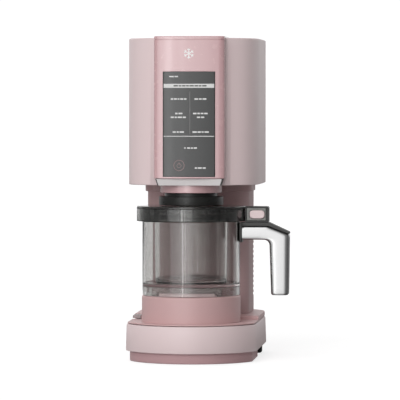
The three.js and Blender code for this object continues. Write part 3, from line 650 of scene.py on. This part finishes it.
def on_front(name, outlines, proud, thick, look, slot, wide=False):
    """Flat shapes in x and z laid on the fascia's crown. Wide ones are faced in strips that follow it."""
    points, faces = [], []
    for outline in outlines:
        start = len(points)
        n = len(outline)
        points += [(x, fascia_front(x) - proud, z) for x, z in outline]
        points += [(x, fascia_front(x) - proud + thick, z) for x, z in outline]
        if wide:
            for i in range(n // 2 - 1):
                strip = (start + i, start + i + 1, start + n - 2 - i, start + n - 1 - i)
                faces.append(strip)
                faces.append(tuple(k + n for k in reversed(strip)))
        else:
            faces.append(tuple(range(start, start + n)))
            faces.append(tuple(range(start + 2 * n - 1, start + n - 1, -1)))
        for i in range(n):
            after = (i + 1) % n
            faces.append((start + i, start + after, start + n + after, start + n + i))
    return fit(make(name, points, faces, HOUSING), "housing", look, slot)


def wide_bar(x0, x1, z0, z1, steps=24):
    """A bar with enough points along it to follow the crown."""
    xs = [x0 + (x1 - x0) * k / steps for k in range(steps + 1)]
    return [(x, z0) for x in xs] + [(x, z1) for x in reversed(xs)]


def control_panel():
    steps, thick = 30, 1.15
    across = [PANEL_HALF * (2 * k / steps - 1) for k in range(steps + 1)]
    front = [(x, fascia_front(x) + 0.05) for x in across]
    back = [(x, y + thick) for x, y in reversed(front)]
    plate = prism("panel_plate", front + back, PANEL_LOW, PANEL_TOP, HOUSING)
    fit(soften(plate, 0.25, 2), "housing", PANEL, "panel_grey", "control_panel")


def dashes(x0, x1, z, tall, shares):
    """A row of short rounded bars between x0 and x1, their lengths in the given shares."""
    gap = 0.8
    room = x1 - x0 - gap * (len(shares) - 1)
    bars = []
    x = x0
    for share in shares:
        width = room * share / sum(shares)
        bars.append(box_outline(x, x + width, z - tall / 2, z + tall / 2, min(tall, width) * 0.35, 3))
        x += width + gap
    return bars


# Rows of plain bars where the panel has print: left end, right end, height, thickness, shares of the length.
PANEL_ROWS = (
    (-22.6, -2.9, 327.4, 1.9, (3, 4, 2, 4, 3)),
    (6.9, 21.7, 327.4, 1.9, (4, 3, 4)),
    (-17.1, -7.9, 309.5, 1.9, (2, 3)),
    (-22.6, -3.5, 304.8, 1.9, (3, 2, 4, 3)),
    (5.1, 23.5, 309.5, 1.9, (4, 3, 3, 4)),
    (10.0, 19.2, 304.8, 1.9, (3, 3)),
    (-20.2, -6.0, 286.6, 1.9, (3, 2, 4)),
    (4.5, 24.8, 286.6, 1.9, (4, 3, 2, 4)),
    (-2.2, 10.0, 266.8, 1.8, (3, 2, 3)),
    (7.5, 21.0, 242.1, 1.8, (2, 4, 3)),
    (-24.5, -13.4, 355.2, 1.5, (4, 3)),
)
INK = 0.06                        # thickness of a printed layer
INK_PROUD = 0.02                  # how far it stands in front of the fascia's crown


def panel_print():
    marks = []
    for row in PANEL_ROWS:
        marks += dashes(*row)
    marks.append(box_outline(-6.0, -3.6, 266.4, 267.2, 0.3, 2))
    marks.append(box_outline(-5.2, -4.4, 265.6, 268.0, 0.3, 2))
    on_front("panel_marks", marks, INK_PROUD, INK, PRINT, "light_grey")
    edge = PANEL_HALF - 0.2
    for name, low, high in (("band", 341.2, 346.2), ("line", 280.9, 281.8)):
        bar = wide_bar(-edge, edge, low, high)
        on_front(f"panel_{name}", [bar], INK_PROUD, INK, PRINT, "light_grey", wide=True)
    divider = [box_outline(1.1, 1.5, 284, 337, 0.1, 1)]
    on_front("panel_divider", divider, INK_PROUD, INK, LINE_PRINT, "light_grey")
    # Black strips along the panel's side edges are painted shade of the thin gap between panel and fascia.
    gap_shade_strips = []
    for _, side in HANDS:
        x = side * 31.75
        gap_shade_strips.append(box_outline(x - 0.45, x + 0.45, PANEL_LOW + 0.4, PANEL_TOP - 0.4, 0.2, 2))
    on_front("panel_gap_painted_shade", gap_shade_strips, INK_PROUD, INK, BLACK, "black_plastic")
    words = dashes(-19, 22, 343.7, 1.5, (5, 3, 4, 3, 5, 4, 3, 5))
    on_front("band_marks", words, INK_PROUD + 0.03, INK, BLACK, "black_plastic")


def ring_on_front(name, x, z, outer, inner, look):
    """A flat ring on the panel, such as the outline of its round key."""
    n = 64
    turns = [2 * math.pi * k / n for k in range(n)]
    loops = []
    for r, back in ((outer, 0.05), (outer, -0.02), (inner, -0.02), (inner, 0.05)):
        circle = [(x + r * math.cos(a), z + r * math.sin(a)) for a in turns]
        loops.append([(across, fascia_front(across) + back, up) for across, up in circle])
    fit(loft(name, loops, HOUSING, closed=True), "housing", look, "light_grey")


def power_key():
    x, z = -12.2, 245.2
    ring_on_front("power_ring", x, z, 6.9, 6.0, RING_PRINT)
    ring_on_front("power_symbol_ring", x, z - 0.2, 2.9, 2.3, RING_PRINT)
    stroke = box_outline(x - 0.35, x + 0.35, z + 0.8, z + 4.2, 0.3, 2)
    on_front("power_symbol_bar", [stroke], INK_PROUD + 0.01, INK, RING_PRINT, "light_grey")


def stroke_outline(start, end, half):
    """The four corners of a straight stroke, given half its width."""
    line = (end - start).normalized() * half
    side = Vector((-line.y, line.x))
    return [tuple(p) for p in (start - side, end - side, end + side, start + side)]


def emblem():
    """A plain six-armed snowflake above the panel."""
    arms, arm, fork, tip_out, tip_across = 6, 6.4, 3.7, 5.6, 1.9
    height = 383.7
    shapes = []
    for k in range(arms):
        a = 2 * math.pi / arms * (k + 0.5)
        ahead = Vector((math.cos(a), math.sin(a)))
        across = Vector((-ahead.y, ahead.x))
        shapes.append(stroke_outline(Vector((0, 0)), ahead * arm, 0.5))
        for _, side in HANDS:
            tip = ahead * tip_out + across * side * tip_across
            shapes.append(stroke_outline(ahead * fork, tip, 0.42))
    for k, shape in enumerate(shapes):
        placed = [(x, z + height) for x, z in shape]
        on_front(f"emblem_arm_{k}", [placed], 0.06 + 0.002 * k, 0.12, WHITE_PRINT, "light_grey")


def fascia_lip():
    """The light strip under the fascia, with a black piece at each end that paints the shade in the gaps
    there.
    """
    low, high = HEAD_LOW, 228.5

    def slanted(inset):
        foot, head = 39.6 - inset, 42.3 - inset
        return rounded([(-foot, low, 0.5), (foot, low, 0.5), (head, high, 0.5), (-head, high, 0.5)], 3)

    strip = upright("lip_strip", slanted(1.5), -42.0, FASCIA_BACK, HOUSING)
    fit(soften(strip, 0.5, 3), "housing", LIP, "light_grey", "fascia_lip")
    # Black pieces behind the strip's ends show only in the gaps, as painted shade of those gaps.
    for name, side in HANDS:
        gap_shade = upright(f"lip_gap_painted_shade_{name}", slanted(0.1), -41.2, FASCIA_BACK - 0.1, HOUSING)
        inner, far = side * 37.6, -side * 60
        away = [(far, 200), (inner, 200), (inner, 240), (far, 240)]
        carve(gap_shade, upright("away", away, -60, -10, HOUSING))
        fit(gap_shade, "housing", BLACK, "black_plastic")


def neck():
    ring = turned("neck_band", rounded([
        (30, 210.6, 0.3), (38.6, 210.6, 1.0), (38.6, HEAD_LOW, 0), (30, HEAD_LOW, 0),
    ]))
    fit(ring, "housing", GLOSS, "gloss_pink", "neck_ring")
    collar = turned("collar_ring", rounded([
        (20, 195, 0.4), (40.3, 195, 1.2), (40.3, 206, 0.9), (33, 206, 0.6), (33, 210.3, 0.2),
        (29.7, 210.3, 0.2), (29.7, 220.2, 0.2), (20, 220.2, 0.3),
    ]))
    fit(collar, "housing", BLACK, "black_plastic", "spindle_collar")


# ---- platform ----
def platform():
    top, under, skirt = PLATFORM_TOP, 79, 30
    inside = 58.5
    sleeve_in, sleeve_out, sleeve_low = 13.3, 17, 36
    cup = turned("platform_cup", rounded([
        (sleeve_in, sleeve_low, 0.3), (sleeve_out, sleeve_low, 0.3), (sleeve_out, under, 1),
        (inside, under, 1), (inside, skirt, 0.5), (PLATFORM_R, skirt, 0.5), (PLATFORM_R, top, 1.6),
        (0.01, top, 0), (0.01, under, 0), (sleeve_in, under, 0.2),
    ]))
    fit(cup, "turntable", SOFT, "soft_pink", "platform")
    foot = top - 0.4
    outline = rounded([(-39, foot, 0.2), (33.5, foot, 0.2), (28.5, top + 5, 0.8), (-39, top + 5, 0.8)])
    key = upright("platform_key", outline, -11, 11)
    fit(soften(key, 0.6, 3), "turntable", PINK, "soft_pink")


# ---- bowl, handle, pint and lid ----
def outer_bowl():
    """The bowl's wall and floor, and under them the channel in which the platform's key slides."""
    floor_low = 94
    cup = turned("bowl_wall", rounded([
        (0.01, floor_low, 0), (BOWL_INSIDE, floor_low, 0.8), (BOWL_INSIDE, BOWL_LOW, 0.4),
        (BOWL_R, BOWL_LOW, 0.5), (BOWL_R, BOWL_TOP, 0.8), (BOWL_INSIDE, BOWL_TOP, 0.8),
        (BOWL_INSIDE, 96.9, 2.2), (0.01, 96.5, 0),
    ]))

    def box(name, left, right, low, high, front, back):
        return upright(name, [(left, low), (right, low), (right, high), (left, high)], front, back)

    carve(cup, box("mouth", -70, -50, 80, SLOT_TOP, -SLOT_HALF, SLOT_HALF))
    fit(cup, "bowl", SMOKE, "smoky_clear", "outer_bowl")
    channel = box("channel_block", -54, 38, BOWL_LOW, floor_low - 0.1, -14, 14)
    carve(channel, box("slot", -70, 34, 80, SLOT_TOP, -SLOT_HALF, SLOT_HALF))
    carve(channel, box("front_gap", -40, 33.9, 80, SLOT_TOP - 0.1, -15, 0))
    fit(soften(channel, 0.4, 2), "bowl", SMOKE, "smoky_clear", "key_channel")


def along(corners, count):
    """That many points, evenly spaced, along an open path with rounded corners."""
    path = [Vector(p) for p in rounded([(*corners[0], 0)] + corners[1:-1] + [(*corners[-1], 0)], 10)]
    reach = [0.0]
    for a, b in zip(path, path[1:]):
        reach.append(reach[-1] + (b - a).length)
    points = []
    k = 0
    for i in range(count):
        want = reach[-1] * i / (count - 1)
        while k < len(path) - 2 and reach[k + 1] < want:
            k += 1
        points.append(path[k].lerp(path[k + 1], (want - reach[k]) / (reach[k + 1] - reach[k])))
    return points


def handle():
    """A swept bar whose section is a rounded oblong, from the mount out and down to its free end."""
    bend, straight, half_depth = 30, 14, 11
    over = along([(HANDLE_ROOT, 169.3), (97.6, 169.3, 6), (123.7, 158.9, 2.5), (123.4, 140)], bend)
    over += along([(123.4, 138), (122.8, 91)], straight)
    under = along([(HANDLE_ROOT, 151.9), (98.2, 151.9, 11), (98.7, 136)], bend)
    under += along([(98.8, 134), (100.2, 91)], straight)
    outer, inner = 122.6, 100.35
    over.append(Vector((outer, HANDLE_TIP)))
    under.append(Vector((inner, HANDLE_TIP)))
    depths = [half_depth] * len(over)
    tip_steps, tip_drop, tip_inset = 6, 3, 2.6
    for k in range(1, tip_steps + 1):
        a = math.pi / 2 * k / tip_steps
        inset = tip_inset * (1 - math.cos(a))
        z = HANDLE_TIP - tip_drop * math.sin(a)
        over.append(Vector((outer - inset, z)))
        under.append(Vector((inner + inset, z)))
        depths.append(half_depth - inset)
    turns = [2 * math.pi * i / SMALL_ROUND for i in range(SMALL_ROUND)]
    loops = [[oblong(a, b, depth, turn) for turn in turns] for a, b, depth in zip(over, under, depths)]
    fit(loft("handle_body", loops), "bowl", SILVER, "silver_plastic", "handle_grip")
    strap_outline = rounded([
        (HANDLE_ROOT, 169.5, 0.2), (97.7, 169.5, 4), (123.5, 159.3, 0.4), (123.5, 161.9, 0.6),
        (98, 173.7, 4), (HANDLE_ROOT, 173.7, 0.4),
    ])
    strap = upright("handle_cap", strap_outline, -10.6, 10.6)
    fit(soften(strap, 0.6, 3), "bowl", STRAP, "black_plastic", "handle_strap")
    plate = box_outline(61.3, 64.6, -12, 12, 0.5, 2)
    mount = prism("handle_plate", plate, 149, 173.6)
    fit(soften(mount, 0.4, 2), "bowl", BLACK, "black_plastic", "handle_mount")


def oblong(over, under, depth, angle):
    """A point on the rounded section between two points of the handle's outline."""
    squareness = 0.42             # 1 makes the section an ellipse, and 0 a rectangle
    across, out = math.cos(angle), math.sin(angle)
    centre, arm = (over + under) / 2, (over - under) / 2
    at = centre + arm * math.copysign(abs(across) ** squareness, across)
    return (at.x, depth * math.copysign(abs(out) ** squareness, out), at.y)


def pint():
    cup = turned("pint_wall", rounded([
        (0.01, 97.6, 0), (40, 97.6, 1), (40.8, 96.8, 0.5), (43, 96.8, 1.0), (44.8, 99.8, 1.5), (46, 180, 0.5),
        (48, 181, 0.6), (48, 186, 0.8), (44, 186, 0.8), (43, 101.8, 2.2), (0.01, 99, 0),
    ]))
    fit(cup, "bowl", FROSTED, "clear_plastic", "pint")


# Faces of a block whose corners 0 to 3 run round its foot and 4 to 7 round its top.
BLOCK_FACES = ((0, 3, 2, 1), (4, 5, 6, 7), (0, 1, 5, 4), (1, 2, 6, 5), (2, 3, 7, 6), (3, 0, 4, 7))


def lid():
    """The lid with its seal, two black rings of painted shade round its rim where the clear edge looks dark,
    and ribs between its rim and its inner ring.
    """
    bore, ring_in, ring_out, rim_in = 16.1, 55.8, 58, 65.5
    ring_low, rim_low = 175.6, 175.4
    shell = turned("lid_shell", rounded([
        (bore, LID_UNDER, 0.3), (ring_in, LID_UNDER, 0.6), (ring_in, ring_low, 0.5),
        (ring_out, ring_low, 0.5), (ring_out, LID_UNDER, 0.6), (rim_in, LID_UNDER, 1.2),
        (rim_in, rim_low, 0.5), (LID_R, rim_low, 0.7), (LID_R, LID_TOP, 1.6), (bore, LID_TOP, 0.5),
    ]))
    fit(shell, "lid", DARK_SMOKE, "smoky_clear", "lid")
    seal_profile = rounded([(43.5, 186.4, 0.6), (50, 186.4, 0.6), (50, 191.6, 0.8), (43.5, 191.6, 0.8)])
    fit(turned("lid_seal_ring", seal_profile), "lid", SILICONE, "rubber", "lid_gasket")
    # Two black rings set on the clear rim are painted shade: they stand for the dark edge lines of the clear
    # plastic, which is not dark there.
    sunk, proud, tall = LID_R - 0.1, LID_R + 0.15, 0.9
    for name, z in (("upper", 190.9), ("lower", 175.5)):
        line = turned(f"lid_rim_painted_shade_{name}", [(sunk, z), (proud, z), (proud, z + tall), (sunk, z + tall)])
        fit(line, "lid", BLACK, "smoky_clear")
    points, faces = [], []
    ribs, half_thick = 24, 0.7
    near, far = ring_out + 0.2, rim_in - 0.1
    for k in range(ribs):
        a = 2 * math.pi * (k + 0.5) / ribs
        out = Vector((math.cos(a), math.sin(a), 0))
        side = Vector((-math.sin(a), math.cos(a), 0)) * half_thick
        start = len(points)
        for z in (176.5, LID_UNDER - 0.1):
            for r, hand in ((near, -1), (far, -1), (far, 1), (near, 1)):
                points.append(tuple(out * r + side * hand + UP * z))
        faces += [tuple(start + i for i in corners) for corners in BLOCK_FACES]
    fit(make("lid_ribs", points, faces), "lid", DARK_SMOKE, "smoky_clear")


def lid_tab():
    """The catch beside the lid: a dark frame, a pane sunk in its front, and a button in the pane."""
    left, right, low, high = 68.6, 97.6, 174.1, 193.7
    body = upright("tab_frame", rounded([
        (left, low, 0.3), (right, low, 0.8), (right, high, 2.2), (left, high, 0.5),
    ]), -10, 10)
    carve(body, upright("recess", box_outline(70.2, 94.4, 176, 191.9, 1.2), -11, -8.4))
    carve(body, upright("well", box_outline(73.4, 93.4, 178, 189.4, 5.6), -11, -2.4))
    fit(soften(body, 0.35, 2), "lid", BLACK, "black_plastic", "lid_tab")
    window = upright("tab_pane", box_outline(70.5, 94.1, 176.3, 191.6, 1.0), -9.8, -8.6)
    carve(window, upright("hole", box_outline(73.6, 93.2, 178.2, 189.2, 5.4), -11, 0))
    fit(soften(window, 0.2, 2), "lid", PANE, "clear_plastic", "tab_window")
    button = upright("unlock_key", box_outline(74.0, 92.8, 178.6, 188.8, 5.05, 10), -11.6, -6)
    fit(soften(button, 1.1, 5), "lid_button", PINK, "gloss_pink", "lid_button")


# ---- stage ----
def ramp(tree, source, stops):
    """Brightness along a 0 to 1 value, from (place, brightness) stops."""
    made = tree.nodes.new("ShaderNodeValToRGB")
    tree.links.new(source, made.inputs["Fac"])
    made.color_ramp.elements[0].position = 0
    made.color_ramp.elements[-1].position = 1
    for place, _ in stops[1:-1]:
        made.color_ramp.elements.new(place)
    for element, (place, shade) in zip(made.color_ramp.elements, stops):
        element.position = place
        element.color = (shade / BRIGHTEST, shade / BRIGHTEST, shade / BRIGHTEST, 1)
    return made.outputs["Color"]


BRIGHTEST = 8.0                   # the light maps hold shares of this, as a ramp's colours end at 1
SEEN_WHITE = 1.05                 # what the camera sees behind the object
# Brightness around the object by compass angle in degrees: 0 is straight in front, positive to its right.
AROUND = (
    (-180, 1.0), (-128, 1.0), (-118, 0.42), (-60, 0.42), (-48, 0.6), (-44, 1.9), (-24, 2.2), (-22, 2.8),
    (-16.9, 2.8), (-16.7, 7.0), (-13.5, 7.0), (-13.3, 2.8), (-9.1, 2.8), (-8.9, 5.0), (-8.3, 5.0),
    (-8.1, 2.8), (-2, 2.7), (4, 2.1), (10, 1.1), (16, 0.6), (20, 0.45), (60, 0.2), (112, 0.18),
    (124, 1.0), (180, 1.0),
)
# The same by height, from straight down through the horizon to straight up.
ABOVE = ((-1, 0.3), (-0.12, 0.9), (0.0, 1.0), (0.75, 1.0), (0.9, 0.5), (1, 0.45))


def studio():
    world = bpy.data.worlds.new("studio")
    bpy.context.scene.world = world
    world.use_nodes = True
    tree = world.node_tree
    back = tree.nodes["Background"]
    coord = tree.nodes.new("ShaderNodeTexCoord")
    split = tree.nodes.new("ShaderNodeSeparateXYZ")
    tree.links.new(coord.outputs["Generated"], split.inputs[0])
    forward = math_node(tree, "MULTIPLY", split.outputs["Y"], -1.0)
    angle = math_node(tree, "ARCTAN2", split.outputs["X"], forward)
    turn = math_node(tree, "MULTIPLY_ADD", angle, 1 / (2 * math.pi), 0.5)
    rise = math_node(tree, "MULTIPLY_ADD", split.outputs["Z"], 0.5, 0.5)
    around = ramp(tree, turn, [(a / 360 + 0.5, shade) for a, shade in AROUND])
    above = ramp(tree, rise, [(h / 2 + 0.5, shade) for h, shade in ABOVE])
    light = tree.nodes.new("ShaderNodeMix")
    light.data_type = "RGBA"
    light.blend_type = "MULTIPLY"
    light.inputs[0].default_value = 1.0
    tree.links.new(around, light.inputs[6])
    tree.links.new(above, light.inputs[7])
    sight = tree.nodes.new("ShaderNodeLightPath")
    seen = tree.nodes.new("ShaderNodeMix")
    seen.data_type = "RGBA"
    white = SEEN_WHITE / BRIGHTEST ** 2
    seen.inputs[7].default_value = (white, white, white, 1)
    tree.links.new(sight.outputs["Is Camera Ray"], seen.inputs[0])
    tree.links.new(light.outputs[2], seen.inputs[6])
    tree.links.new(seen.outputs[2], back.inputs["Color"])
    back.inputs["Strength"].default_value = BRIGHTEST ** 2
    bpy.context.scene.view_settings.view_transform = "Standard"


def floor():
    """A wide white floor. Reflections pass through its front half, so that low pieces mirror the studio."""
    half = 60.0                   # metres
    glow_level = 0.73
    corners = [(-half, -half, 0), (half, -half, 0), (half, half, 0), (-half, half, 0)]
    plain = bpy.data.meshes.new("floor")
    plain.from_pydata(corners, [], [(0, 1, 2, 3)])
    sheet = bpy.data.objects.new("floor", plain)
    bpy.context.scene.collection.objects.link(sheet)
    look = surface("floor_white", (0.42, 0.42, 0.42, 1), 0.7, grain=0.02, mottle=0.005, patch=2, specular=0.0)
    tree = look.node_tree
    shader = tree.nodes["Principled BSDF"]
    sight = tree.nodes.new("ShaderNodeLightPath")
    seen = math_node(tree, "MAXIMUM", sight.outputs["Is Camera Ray"], sight.outputs["Is Transmission Ray"])
    glow = math_node(tree, "MULTIPLY", seen, glow_level)
    shader.inputs["Emission Color"].default_value = (1, 1, 1, 1)
    tree.links.new(glow, shader.inputs["Emission Strength"])
    place = tree.nodes.new("ShaderNodeSeparateXYZ")
    tree.links.new(tree.nodes["Texture Coordinate"].outputs["Object"], place.inputs[0])
    ahead = math_node(tree, "LESS_THAN", place.outputs["Y"], 0.0)
    mixed = tree.nodes.new("ShaderNodeMixShader")
    mirrored = math_node(tree, "MULTIPLY", sight.outputs["Is Glossy Ray"], ahead)
    tree.links.new(mirrored, mixed.inputs["Fac"])
    tree.links.new(shader.outputs["BSDF"], mixed.inputs[1])
    tree.links.new(tree.nodes.new("ShaderNodeBsdfTransparent").outputs["BSDF"], mixed.inputs[2])
    tree.links.new(mixed.outputs["Shader"], tree.nodes["Material Output"].inputs["Surface"])
    plain.materials.append(look)


make_camera()
studio()
floor()
dress_cad_nodes()
base_plinth()
base_band()
base_deck()
release_button()
release_spring()
feet()
column_shell()
rear_cover()
head_shell()
head_fascia()
control_panel()
panel_print()
power_key()
emblem()
fascia_lip()
neck()
platform()
outer_bowl()
handle()
pint()
lid()
lid_tab()
